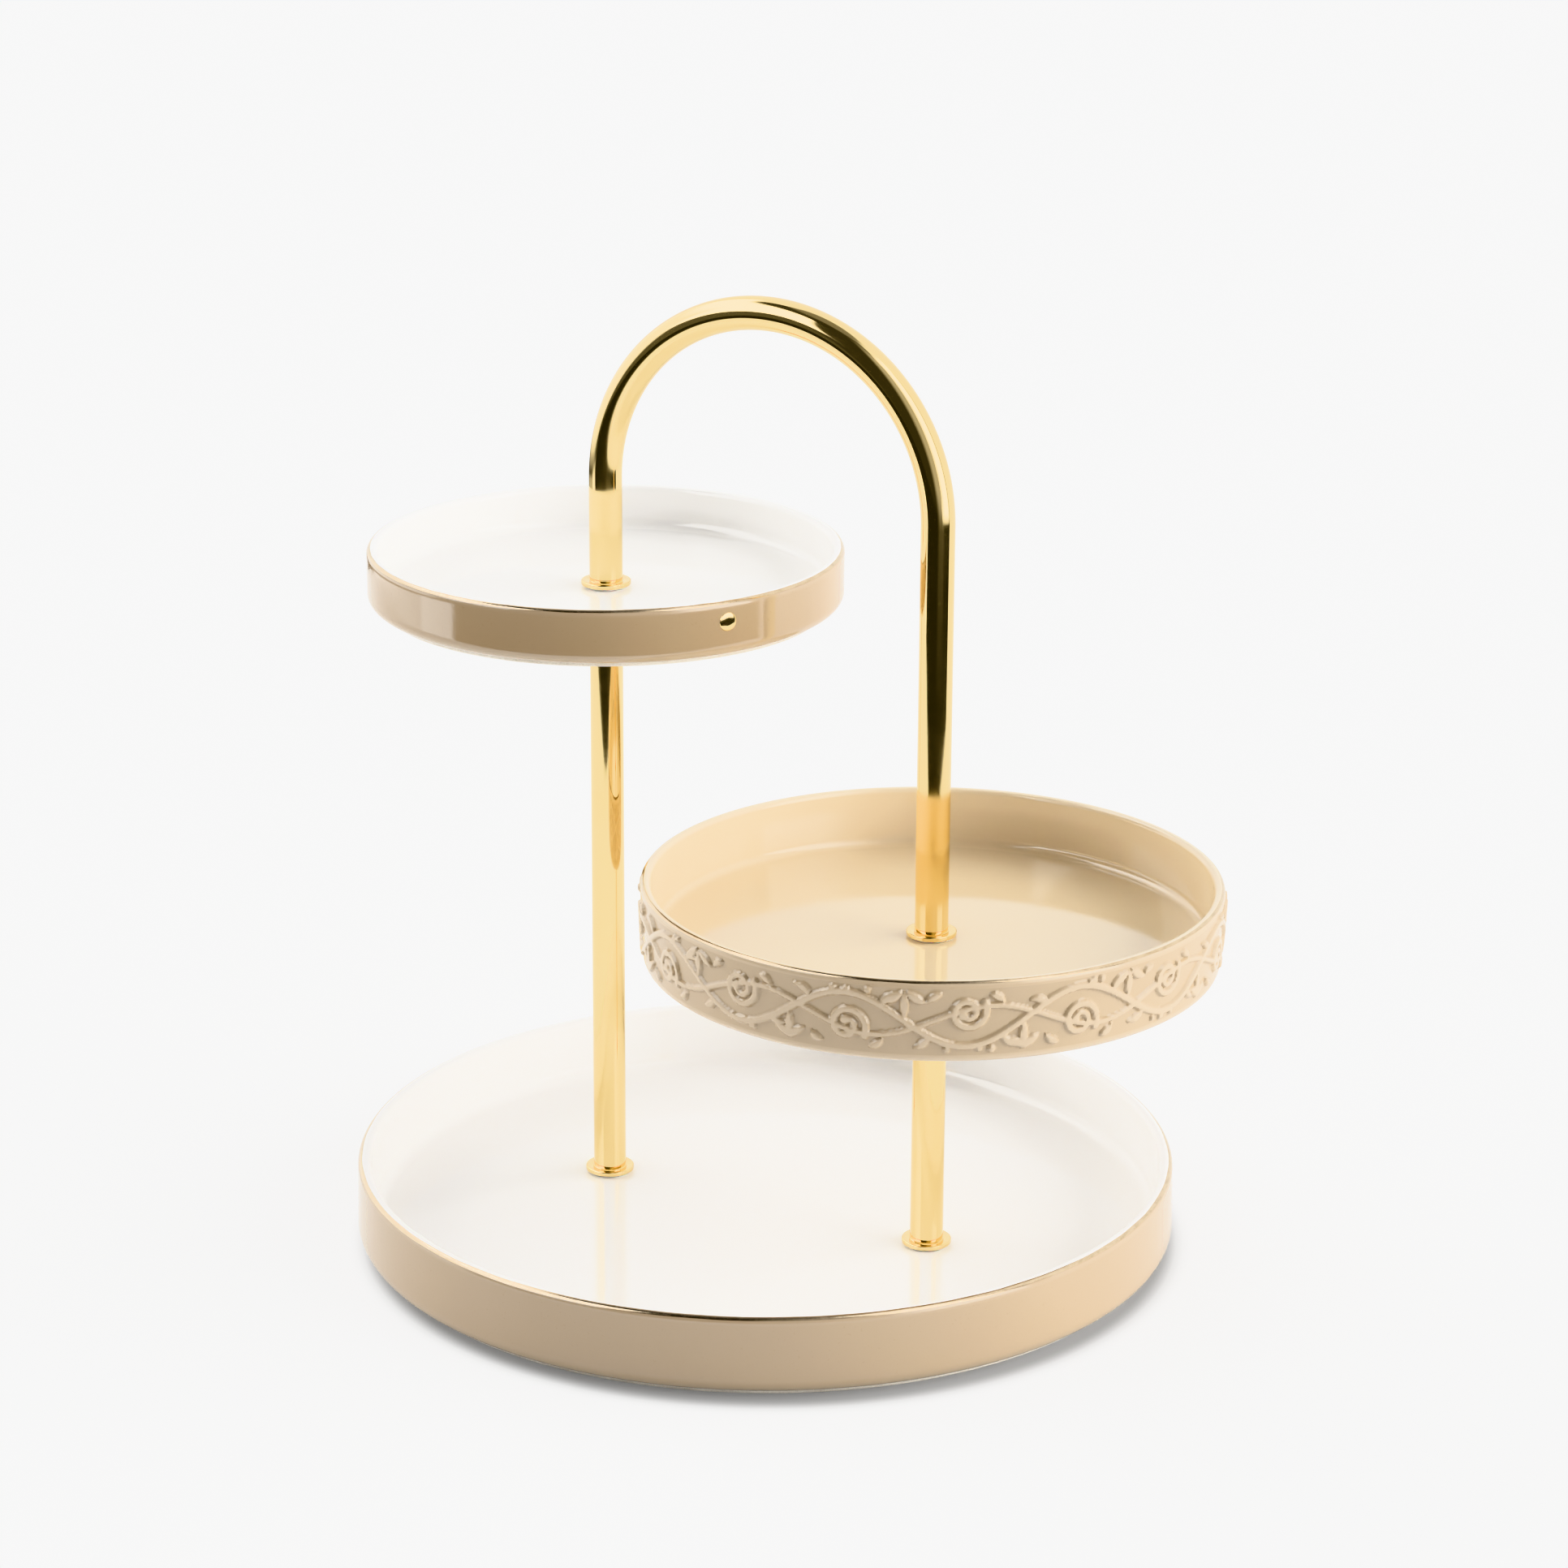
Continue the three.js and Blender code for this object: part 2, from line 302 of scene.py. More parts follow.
white_glaze = glaze("white_glaze", (0.81, 0.795, 0.77), (0.84, 0.828, 0.81), (0.88, 0.87, 0.86),
                     rough=(0.04, 0.07), ior=1.7)
beige_inside = glaze("beige_glaze_inside", (0.61, 0.46, 0.275), (0.71, 0.575, 0.385), (0.80, 0.71, 0.56),
                      rough=(0.03, 0.06), ior=1.8)
beige_outside = glaze("beige_glaze_outside", (0.255, 0.18, 0.10), (0.322, 0.232, 0.137), (0.45, 0.36, 0.255),
                       rough=(0.04, 0.08), ior=1.8)
relief_glaze = glaze("beige_glaze_relief", (0.30, 0.22, 0.13), (0.42, 0.32, 0.205), (0.54, 0.44, 0.325),
                     rough=(0.12, 0.2), ripple=0.00002, ior=1.7)
foot_bisque = bisque("bisque_foot", (0.56, 0.49, 0.39), (0.80, 0.75, 0.66))
lip_gilt = painted_gilt("painted_gilt")
arch_gold = polished_gold("polished_gold_tube", "wrap")
fitting_gold = polished_gold("polished_gold_fitting")
steel = turned_steel("turned_steel")
clear_silicone = silicone("clear_silicone")

# ---- Pieces ----


def stand_for(piece, node, body):
    """Puts a piece on a CAD body in the place of a CAD node."""
    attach(piece, body)
    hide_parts(node)


def new_piece(name, points, faces, materials, slots=None, attributes=None):
    """A smooth-shaded mesh object from numpy points and face lists, with per-point attributes."""
    mesh = bpy.data.meshes.new(name)
    mesh.from_pydata(points.tolist(), [], faces)
    for material in materials:
        mesh.materials.append(material)
    if slots is not None:
        mesh.polygons.foreach_set("material_index", np.asarray(slots, np.int32))
    for key, values in (attributes or {}).items():
        kind = "FLOAT_VECTOR" if np.ndim(values) == 2 else "FLOAT"
        layer = mesh.attributes.new(key, kind, "POINT")
        field = "vector" if kind == "FLOAT_VECTOR" else "value"
        layer.data.foreach_set(field, np.ravel(values).astype(np.float32))
    mesh.polygons.foreach_set("use_smooth", np.ones(len(mesh.polygons), bool))
    mesh.set_sharp_from_angle(angle=math.radians(SHARP_ANGLE))
    mesh.update()
    obj = bpy.data.objects.new(name, mesh)
    bpy.context.scene.collection.objects.link(obj)
    return obj


def grid_faces(rows, sides, closed):
    """Quads between successive rings of points, and from the last ring to the first if the outline closes."""
    faces = []
    for i in range(rows if closed else rows - 1):
        here, there = i * sides, ((i + 1) % rows) * sides
        for j in range(sides):
            k = (j + 1) % sides
            faces.append((here + j, here + k, there + k, there + j))
    return faces


def turned(name, outline, materials, centre, sides=TRAY_SIDES, slots=None):
    """A solid of revolution about a vertical axis. outline holds (radius, height, tone) rows in metres, whose
    values may vary round the axis. An outline whose ends have radius 0 is capped there, and any other closes
    on itself. slots holds the material of the strip that follows each row."""
    angles = np.arange(sides) * 2 * np.pi / sides
    radius, height, tone = (
        np.array([np.broadcast_to(row[i], sides) for row in outline], float) for i in range(3)
    )
    capped = radius[0].max() < 1e-9
    if capped:
        radius, height, tone = radius[1:-1], height[1:-1], tone[1:-1]
    rows = len(radius)
    points = np.stack([
        centre.x + radius * np.cos(angles),
        centre.y + radius * np.sin(angles),
        centre.z + height,
    ], axis=-1).reshape(-1, 3)
    faces = grid_faces(rows, sides, closed=not capped)
    indices = None if slots is None else np.repeat(slots[1:-2] if capped else slots, sides)
    if capped:
        faces.append(tuple(reversed(range(sides))))
        faces.append(tuple(range((rows - 1) * sides, rows * sides)))
        if slots is not None:
            indices = np.concatenate([indices, [slots[0], slots[-2]]])
    return new_piece(name, points, faces, materials, indices, {"tone": tone.ravel()})


def arc(r, z, radius, start, end, steps):
    """Points round an arc in the outline's plane, angles in degrees, both ends included."""
    angles = np.radians(np.linspace(start, end, steps + 1))
    return [(r + radius * np.cos(a), z + radius * np.sin(a)) for a in angles]


def wander(rng, sides, waves=14):
    """A smooth random ripple round a circle, about -1 to 1."""
    angles = np.arange(sides) * 2 * np.pi / sides
    total = np.zeros(sides)
    for _ in range(waves):
        total += np.sin(rng.randint(3, 60) * angles + rng.uniform(0, 2 * np.pi))
    return total / math.sqrt(waves)


# ---- Trays ----


def tray_outline(t, hole_r, sides, rng, wall_rows=None):
    """The tray's outline from its underside round the foot, wall and lip to the floor, as (radius, height,
    tone) rows in metres, and the material of the strip that follows each row."""
    rows, slots = [], []

    def add(points, slot):
        for point in points:
            r, z, *tone = point
            rows.append((r * MM, z * MM, tone[0] if tone else 0.0))
            slots.append(slot)

    lip = t["wall"] / 2
    lip_r, lip_z = t["rim_r"] - lip, t["rim_z"] - lip
    corner = arc(t["bottom_r"] - t["corner_r"], t["wall_bottom"] + t["corner_r"], t["corner_r"], -90, 0, 6)
    add([(hole_r, t["underside"]), (t["foot_inner_r"] - 0.6, t["underside"])], OUTSIDE)
    # The tone of -0.6 at the foot ring's inner edge is painted shade in the corner under the tray.
    add([(t["foot_inner_r"], t["underside"], -0.6), (t["foot_inner_r"], 0.5)], FOOT_BAND)
    add([(t["foot_inner_r"] + 0.5, 0), (t["foot_outer_r"] - 0.5, 0)], FOOT_BAND)
    if t["wall_bottom"] > 0:
        add([(t["foot_outer_r"], 0.5), (t["foot_outer_r"], t["wall_bottom"] - 0.4)], FOOT_BAND)
    # The tone of -0.8 under the wall's bottom corner is painted shade where the tray meets the floor.
    add([(t["foot_outer_r"] + 0.3, t["wall_bottom"], -0.8)], OUTSIDE)
    # The bottom corner's tone pales its glaze: partly glaze thinning over the edge, partly a painted
    # highlight.
    add([(r, z, 0.75 * math.sin(math.pi * (i + 0.5) / 7) ** 2) for i, (r, z) in enumerate(corner)], OUTSIDE)
    add(wall_rows if wall_rows is not None else [(t["bottom_r"] - 0.02, corner[-1][1] + 1.5)], OUTSIDE)

    def round_lip(angle):
        return lip_r + lip * np.cos(np.radians(angle)), lip_z + lip * np.sin(np.radians(angle))

    gilt_from = GILT_FROM + GILT_WANDER * wander(rng, sides)
    gilt_to = GILT_TO + GILT_WANDER * wander(rng, sides)
    add([(t["rim_r"], lip_z - 0.8, 0.1), (*round_lip(0), 0.2)], OUTSIDE)
    add([(*round_lip(angle), 0.3) for angle in (12, 25)], OUTSIDE)
    add([round_lip(gilt_from + (gilt_to - gilt_from) * k / 4) for k in range(4)], GILT)
    add([(*round_lip(gilt_to), 0.3), (*round_lip(100), 0.3), (*round_lip(130), 0.2), (*round_lip(160), 0.1),
         round_lip(180)], INSIDE)
    fillet_r, fillet_z = t["rim_r"] - t["wall"] - t["fillet_r"], t["floor"] + t["fillet_r"]
    # The tone darkens the glaze round the crease between wall and floor.
    add([(r, z, -0.3 * math.sin(math.pi * i / 8)) for i, (r, z) in
         enumerate(arc(fillet_r, fillet_z, t["fillet_r"], 0, -90, 8))], INSIDE)
    add([(fillet_r - 1, t["floor"])], INSIDE)
    add([(hole_r, t["floor"])], INSIDE if hole_r == 0 else OUTSIDE)
    return rows, slots


def tray_piece(name, node, t, hole_r, materials, seed, sides=TRAY_SIDES, relief=None):
    """A glazed tray in the place of its CAD node."""
    low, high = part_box(node)
    t["rim_z"] = (high.z - low.z) / MM
    rng = random.Random(seed)
    wall_rows = relief(t, sides, rng) if relief else None
    rows, slots = tray_outline(t, hole_r, sides, rng, wall_rows)
    centre = Vector(((low.x + high.x) / 2, (low.y + high.y) / 2, low.z))
    return turned(name, rows, materials, centre, sides, slots)


# ---- Relief of the middle tray ----

RELIEF_LOW, RELIEF_HIGH = 1.9, 26.0  # of the fine wall rows, above the tray's lowest point
RELIEF_ROWS = 50
RELIEF_HEIGHT = 1.05
VINE_UNITS = 16  # lobes of the scroll round the tray, an even number
STEM_REACH = 8.8  # how far the main stem strays from the band's middle line
BAND_REACH = 10.4  # how far anything does
STROKE = 1.25  # half width of a stroke
DAB_REACH, DAB_SHOULDER = 1.25, 0.55  # of a dab's radius: where it ends, and the width of its sloping edge
DAB_STEP = 0.22  # between the dabs of a stroke
WALL_MARGIN = 0.2  # between the fine wall rows and the corner or the lip


class Relief:
    """Heights of raised strokes on a band that closes on itself, gathered on a grid in millimetres."""

    def __init__(self, length, height, columns, rows):
        self.length, self.middle = length, height / 2
        self.u = np.arange(columns) * length / columns
        self.v = np.linspace(-height / 2, height / 2, rows)
        self.height = np.zeros((rows, columns))

    def dab(self, u, v, radius, level):
        """One round dab, with a soft shoulder; strokes are rows of dabs."""
        reach = radius * DAB_REACH
        near_v = np.nonzero(np.abs(self.v - v) < reach)[0]
        du = (self.u - u + self.length / 2) % self.length - self.length / 2
        near_u = np.nonzero(np.abs(du) < reach)[0]
        if not len(near_v) or not len(near_u):
            return
        away = np.hypot(self.v[near_v, None] - v, du[None, near_u]) / radius
        rise = np.clip((DAB_REACH - away) / DAB_SHOULDER, 0, 1)
        rise = level * rise * rise * (3 - 2 * rise)
        window = np.ix_(near_v, near_u)
        self.height[window] = np.maximum(self.height[window], rise)

    def stroke(self, path, widths, level=1.0):
        """Dabs along a path of (u, v) points, whose half widths run from the first to the last of widths."""
        path = np.asarray(path, float)
        steps = np.hypot(*np.diff(path, axis=0).T)
        along = np.concatenate([[0], np.cumsum(steps)])
        count = max(2, int(along[-1] / DAB_STEP))
        at = np.linspace(0, along[-1], count)
        radius = np.interp(at, np.linspace(0, along[-1], len(widths)), widths)
        for u, v, r in zip(np.interp(at, along, path[:, 0]), np.interp(at, along, path[:, 1]), radius):
            self.dab(u, v, r, level * min(1.0, 0.6 + 0.4 * r / STROKE))


def spiral(centre, start_r, end_r, start, turns, steps=40):
    """Points of a spiral round centre, from angle start in radians."""
    share = np.linspace(0, 1, steps)
    angle = start + 2 * np.pi * turns * share
    radius = start_r + (end_r - start_r) * share ** 0.8
    return np.stack([centre[0] + radius * np.cos(angle), centre[1] + radius * np.sin(angle)], axis=1)


def leaf(relief, base, heading, length, bend, widths=(0.5, 1.2, 1.35, 0.9, 0.4)):
    """A pointed leaf that curls away from its base."""
    steps = 12
    angle = heading + bend * np.linspace(0, 1, steps)
    heads = np.stack([np.cos(angle), np.sin(angle)], axis=1)
    relief.stroke(np.asarray(base) + np.cumsum(heads, axis=0) * length / steps, widths)


def vine_scroll(relief, rng):
    """An abstract vine that fills the band: two crossing stems, a coiled tendril in each lobe, a fan of
    leaves between the lobes, and leaves and buds in the gaps."""
    lobe = relief.length / VINE_UNITS
    u = np.linspace(0, relief.length, 1200)
    for reach, shift, width in ((STEM_REACH, 0.0, STROKE), (-0.62 * STEM_REACH, 0.22, 0.8 * STROKE)):
        relief.stroke(np.stack([u, reach * np.sin(np.pi * (u / lobe - shift))], axis=1), [width])
    for unit in range(VINE_UNITS):
        side = 1 if unit % 2 == 0 else -1  # where this lobe's stem is, above or below the middle line
        middle = (unit + 0.5) * lobe + rng.uniform(-0.8, 0.8)
        coil = (middle + rng.uniform(-0.6, 0.6), -side * rng.uniform(2.6, 3.4))
        path = spiral(coil, rng.uniform(6.8, 7.4), 1.9, -side * 0.5, side * rng.uniform(1.35, 1.6))
        relief.stroke(path, [STROKE, STROKE, 0.8 * STROKE])
        relief.dab(*path[-1], 1.7, 1.0)
        for spread in (-1, 0, 1):
            heading = side * np.pi / 2 + spread * rng.uniform(0.75, 0.95)
            root = (unit * lobe + 0.8 * spread, -side * BAND_REACH)
            leaf(relief, root, heading, 9 - 2 * abs(spread), 0.35 * spread, (0.7, 1.3, 1.6, 1.2, 0.5))
        for reach in (-1, 1):
            base = (middle + reach * lobe * 0.3, side * rng.uniform(4.0, 5.5))
            heading = math.atan2(side, reach * 0.9) + rng.uniform(-0.3, 0.3)
            leaf(relief, base, heading, rng.uniform(6.5, 8.0), -reach * side * rng.uniform(0.5, 1.0))
            inner = (middle + reach * lobe * 0.2, -side * rng.uniform(9.4, BAND_REACH))
            leaf(relief, inner, math.atan2(side * 0.15, reach), rng.uniform(5, 6), reach * side * 0.8)
        for _ in range(3):
            spot = (middle + rng.uniform(-9, 9), side * rng.uniform(9.4, BAND_REACH))
            relief.dab(*spot, rng.uniform(1.0, 1.3), 0.95)


def relief_rows(t, sides, rng):
    """Rows of the middle tray's outer wall, raised by the scroll, in millimetres."""
    top = t["rim_z"] - t["wall"] / 2
    relief = Relief(2 * math.pi * t["rim_r"], RELIEF_HIGH - RELIEF_LOW, sides, RELIEF_ROWS)
    vine_scroll(relief, rng)
    rows = []
    bottom = t["wall_bottom"] + t["corner_r"]
    for share, lift in zip(np.linspace(0, 1, RELIEF_ROWS), relief.height):
        z = bottom + WALL_MARGIN + (top - bottom - 2 * WALL_MARGIN) * share
        wall_r = t["bottom_r"] + (t["rim_r"] - t["bottom_r"]) * (z - bottom) / (top - bottom)
        # The tone is a painted highlight on the strokes' crests and painted shade on the ground between them.
        rows.append((wall_r + RELIEF_HEIGHT * lift, z, 0.6 * lift - 0.3))
    return rows


base_tray = tray_piece("base_tray_glazed", "base_tray", BASE, 0.0,
                       [foot_bisque, beige_outside, lip_gilt, white_glaze], seed=11)
mid_tray = tray_piece("mid_tray_glazed", "mid_tray", MID, HOLE_R,
                      [foot_bisque, relief_glaze, lip_gilt, beige_inside], seed=23,
                      sides=RELIEF_SIDES, relief=relief_rows)
top_tray = tray_piece("top_tray_glazed", "top_tray", TOP, HOLE_R,
                      [foot_bisque, beige_outside, lip_gilt, white_glaze], seed=37)


def bore(piece, x):
    """Cuts a stepped screw hole up through a tray under a post; its clay is bare."""
    outline = [
        (0, CUTTER_LOW), (COUNTERBORE_R, CUTTER_LOW), (COUNTERBORE_R, BASE_SEAT), (HOLE_R, BASE_SEAT),
        (HOLE_R, CUTTER_HIGH), (0, CUTTER_HIGH),
    ]
    rows = [(r * MM, z * MM, 0.0) for r, z in outline]
    cutter = turned("cutter", rows, [foot_bisque], Vector((x, 0, 0)), FITTING_SIDES)
    cut = piece.modifiers.new("bore", "BOOLEAN")
    cut.operation = "DIFFERENCE"
    cut.solver = "EXACT"
    cut.object = cutter
    evaluated = piece.evaluated_get(bpy.context.evaluated_depsgraph_get())
    piece.data = bpy.data.meshes.new_from_object(evaluated)
    piece.modifiers.clear()
    shape = bmesh.new()
    shape.from_mesh(piece.data)
    bmesh.ops.remove_doubles(shape, verts=shape.verts, dist=WELD)
    bmesh.ops.triangulate(shape, faces=[face for face in shape.faces if len(face.verts) > 4])
    shape.to_mesh(piece.data)
    shape.free()
    piece.data.set_sharp_from_angle(angle=math.radians(SHARP_ANGLE))
    bpy.data.objects.remove(cutter)


for x in POST_X.values():
    bore(base_tray, x)
for piece, node, body, slot in (
    (base_tray, "base_tray", "frame", "white_glaze"),
    (mid_tray, "mid_tray", "mid_tray", "beige_glaze"),
    (top_tray, "top_tray", "top_tray", "white_glaze"),
):
    stand_for(piece, node, body)

# ---- Gilt frame ----

TUBE_WALL = 1.0 * MM
TUBE_EDGE = 0.2 * MM  # how far the tube's ends are rounded over
TUBE_SIDES = 72
INNER_STEP = 4  # the tube's inside has a ring for every so many rings outside
ARCH_STEPS = 128
COLLAR_HEIGHT = 2.6  # millimetres from the tray to the tube's end


def tube(name, spine, sides=TUBE_SIDES):
    """A hollow gilt tube along a spine in the XZ plane. Its wrap attribute says where a point would be if the
    tube were straight."""
    spine = np.asarray(spine, float)
    ahead = np.gradient(spine, axis=0)
    ahead /= np.linalg.norm(ahead, axis=1)[:, None]
    across = np.stack([ahead[:, 2], np.zeros(len(spine)), -ahead[:, 0]], axis=1)
    angles = np.arange(sides) * 2 * np.pi / sides
    along = np.concatenate([[0], np.cumsum(np.linalg.norm(np.diff(spine, axis=0), axis=1))])
    cos, sin = np.cos(angles)[:, None], np.sin(angles)[:, None]

    def ring(i, radius):
        return spine[i] + radius * (cos * across[i] + sin * np.array([0, 1, 0]))

    def wrap(i, radius):
        return np.hstack([radius * cos, radius * sin, np.full((sides, 1), along[i])])

    last = len(spine) - 1
    rings = [(0, TUBE_R - TUBE_WALL), (0, TUBE_R - TUBE_EDGE)]
    rings += [(i, TUBE_R) for i in range(1, last)]
    rings += [(last, TUBE_R - TUBE_EDGE), (last, TUBE_R - TUBE_WALL)]
    rings += [(i, TUBE_R - TUBE_WALL) for i in range(last - 1, 0, -INNER_STEP)]
    points = np.concatenate([ring(i, radius) for i, radius in rings])
    wraps = np.concatenate([wrap(i, radius) for i, radius in rings])
    faces = grid_faces(len(rings), sides, closed=True)
    return new_piece(name, points, faces, [arch_gold], attributes={"wrap": wraps})


def straight(x, start_z, end_z, steps):
    """Spine of a straight leg, with an extra point close to each end for the edge radius."""
    edge = TUBE_EDGE * (1 if end_z > start_z else -1)
    heights = [start_z, *np.linspace(start_z + edge, end_z - edge, steps), end_z]
    return [(x, 0, z) for z in heights]


def arch_spine():
    """From the left leg's end over the half circle to the right leg's end."""
    left_end, right_end = (
        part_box(f"{tier}_upper_collar")[0].z + COLLAR_HEIGHT * MM for tier in ("top_tray", "mid_tray")
    )
    half = POST_X["right"]
    turn = [
        (-half * math.cos(angle), 0, ARCH_SPRING_Z + half * math.sin(angle))
        for angle in np.linspace(0, math.pi, ARCH_STEPS + 1)
    ]
    left_leg = straight(-half, left_end, ARCH_SPRING_Z, steps=6)[:-2]
    right_leg = straight(half, ARCH_SPRING_Z, right_end, steps=14)[2:]
    return left_leg + turn + right_leg


stand_for(tube("handle_arch_polished", arch_spine()), "handle_arch", "frame")
for side, x in POST_X.items():
    low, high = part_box(f"{side}_post")
    post = tube(f"{side}_post_polished", straight(x, low.z, high.z, steps=24))
    stand_for(post, f"{side}_post", "frame")

# ---- Fittings ----

# In millimetres.
THREAD_R = 3.0
BORE_R = THREAD_R + 0.1  # of whatever is threaded onto a stud or a screw
GASKET = 0.6
GASKET_R = 8.0
WASHER = 0.8
WASHER_R = 8.5


def fitting(node, name, rows, material, upside_down=False):
    """A small turned piece in the place of its CAD node, from (radius, height) rows in millimetres."""
    low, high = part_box(node)
    centre = Vector(((low.x + high.x) / 2, (low.y + high.y) / 2, high.z if upside_down else low.z))
    turn = -1 if upside_down else 1
    outline = [(r * MM, turn * z * MM, 0.0) for r, z in (reversed(rows) if upside_down else rows)]
    stand_for(turned(name, outline, [material], centre, FITTING_SIDES), node, "frame")


def collar_rows():
    """A collar's disc with softly rounded edges, a fine groove round its neck, and the spigot that centres it
    in the tube."""
    disc_r, disc, edge = COLLAR_R / MM, 1.7, 0.45
    groove_outer, groove_r, groove, neck_r = 6.35, 6.1, 0.12, 5.9
    spigot_r, spigot_top = 4.9, 5.6
    return [
        (BORE_R, 0),
        *arc(disc_r - edge, edge, edge, -90, 0, 5),
        *arc(disc_r - edge, disc - edge, edge, 0, 90, 5),
        (groove_outer, disc), (groove_r, disc - groove), (neck_r, disc), (neck_r, COLLAR_HEIGHT),
        (spigot_r, COLLAR_HEIGHT), (spigot_r, spigot_top), (BORE_R, spigot_top),
    ]


def ring_rows(inner, outer, thickness, edge):
    """A flat ring with softened edges."""
    return [
        (inner, 0), (outer - edge, 0), (outer, edge), (outer, thickness - edge), (outer - edge, thickness),
        (inner, thickness),
    ]


def bush_rows(height):
    """A silicone bush: a sleeve in the tray's hole under a flat flange."""
    sleeve, edge = height - GASKET, 0.1
    sleeve_r = HOLE_R - 0.1
    return [
        (BORE_R, 0), (sleeve_r, 0), (sleeve_r, sleeve), (GASKET_R - edge, sleeve), (GASKET_R, sleeve + edge),
        (GASKET_R, height - edge), (GASKET_R - edge, height), (BORE_R, height),
    ]


def screw_rows(height):
    """A low-head screw, head down, with a hexagonal socket."""
    head_r, head, edge = 6.5, 1.5, 0.4
    socket_half, socket_flare, socket_depth = 1.9, 1.02, 1.0
    shank_r, tip_chamfer = THREAD_R - 0.1, 0.5
    turn = np.arange(FITTING_SIDES) * 2 * np.pi / FITTING_SIDES
    hexagon = socket_half / np.cos((turn + np.pi / 6) % (np.pi / 3) - np.pi / 6)
    return [
        (0, socket_depth), (hexagon, socket_depth), (hexagon * socket_flare, 0), (head_r - edge, 0),
        *arc(head_r - edge, edge, edge, -60, 0, 3),
        (head_r, head), (shank_r, head), (shank_r, height - tip_chamfer), (shank_r - tip_chamfer, height),
        (0, height),
    ]


GASKET_ROWS = ring_rows(BORE_R, GASKET_R, GASKET, edge=0.1)
WASHER_ROWS = ring_rows(BORE_R, WASHER_R, WASHER, edge=0.12)
for tier in ("base_left", "base_right", "mid_tray", "top_tray"):
    collar, bush = f"{tier}_upper_collar", f"{tier}_bush"
    fitting(collar, f"{collar}_polished", collar_rows(), fitting_gold)
    fitting(bush, f"{bush}_moulded", bush_rows(node_height(bush)), clear_silicone)
for tier in ("mid_tray", "top_tray"):
    collar, gasket = f"{tier}_lower_collar", f"{tier}_lower_gasket"
    fitting(collar, f"{collar}_polished", collar_rows(), fitting_gold, upside_down=True)
    fitting(gasket, f"{gasket}_cut", GASKET_ROWS, clear_silicone)
for side in POST_X:
    gasket, washer, screw = (f"base_{side}_{kind}" for kind in ("gasket", "washer", "screw"))
    fitting(gasket, f"{gasket}_cut", GASKET_ROWS, clear_silicone)
    fitting(washer, f"{washer}_turned", WASHER_ROWS, steel)
    fitting(screw, f"{screw}_turned", screw_rows(node_height(screw)), steel)

for name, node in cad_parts.items():
    if name.endswith(("insert", "stud")):
        node.data.materials.clear()
        node.data.materials.append(steel)

# ---- Mark ----

MARK_AZIMUTH = 60.8  # degrees round the top tray from the front
MARK_ABOVE_FOOT = 14.2
MARK_R = 3.3
MARK_LIFT = 0.22
MARK_SIDES = 48


def mark():
    """A plain round gold dot on the top tray's wall. Its rings of points, (share of the radius, height over
    the wall), rise from just under the glaze and shrink towards the dot's middle."""
    low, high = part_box("top_tray")
    turn = np.arange(MARK_SIDES) * 2 * np.pi / MARK_SIDES
    across, up = MARK_R * np.cos(turn), MARK_R * np.sin(turn)
    rings = []
    crown = ((0.98, -0.3), (1.0, 0.0), (0.97, MARK_LIFT * 0.7), (0.9, MARK_LIFT), (0.3, MARK_LIFT * 1.2))
    for size, lift in crown:
        radius = TOP["rim_r"] + lift
        angle = math.radians(MARK_AZIMUTH) + size * across / radius
        x, y = radius * np.sin(angle), -radius * np.cos(angle)
        rings.append(np.stack([x, y, MARK_ABOVE_FOOT + size * up], axis=1) * MM)
    points = np.concatenate(rings) + np.array([(low.x + high.x) / 2, (low.y + high.y) / 2, low.z])
    faces = grid_faces(len(rings), MARK_SIDES, closed=False)
    faces += [tuple(reversed(range(MARK_SIDES))), tuple(range(len(points) - MARK_SIDES, len(points)))]
    piece = new_piece("mark_gilt", points, faces, [fitting_gold])
    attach(piece, "top_tray")


mark()

# ---- Studio ----

FLOOR_SPAN = 8.0
# The lit table that the glazes and the gilt mirror: two circles (x, y, radius) and what lies between them.
# They mirror no floor beyond it.
TABLE = ((0.08, 0.15, 0.60), (-0.30, 0.07, 0.66))
TABLE_SIDES = 180
PAPER = 0.25  # what the floor reflects, and the light of its own that keeps shadows faint
PAPER_LIGHT = 0.77
# The paper gives less light of its own under the foot and close round it.
SHADOW_CENTRE = (0.005, -0.005, 0)
SHADOW_R = (0.143, 0.156)
SHADOW_LIGHT = 0.15
BACKDROP = 1.06
EXPOSURE = 0.38  # in stops

# Cards and flags round the set: (azimuth from, to, elevation from, to), the angle over which the edge fades,
# and radiance. Azimuth 0 is the front and 90 the right, in degrees. Later cards cover earlier ones.
ROOM_SHINE = 1.08
SHINE_CARDS = [
    ((-95, 62, 62, 90), 10, 0.05),
    ((-180, 180, 77, 90), 6, 0.2),
    ((-62, 60, -22, 17), 6, 0.10),
    ((-18, 40, -22, 72), 5, 0.04),
    ((-130, 108, -21, -9), 3, 0.02),
    ((-118, -18, 19, 56), 3, 3.2),
    ((-118, -62, -2, 30), 10, 1.6),
    ((60, 102, -6, 62), 5, 3.0),
    ((40, 60, 0, 58), 16, 0.4),
    ((104, 110, -8, 55), 2, 0.4),
    ((-115, -62, -18.6, -14.0), 1.5, 1.6),
    ((-66, -48, -18.6, -14.0), 3, 2.2),
]
ROOM_LIGHT = 0.4
LIGHT_CARDS = [
    ((-180, 180, 60, 90), 20, 0.2),
    ((-15, 45, 0, 60), 20, 0.4),
    ((85, 145, 4, 34), 8, 8.8),
    ((-60, -18, 19, 56), 8, 0.9),
    ((-135, -60, 4, 32), 12, 5.0),
]


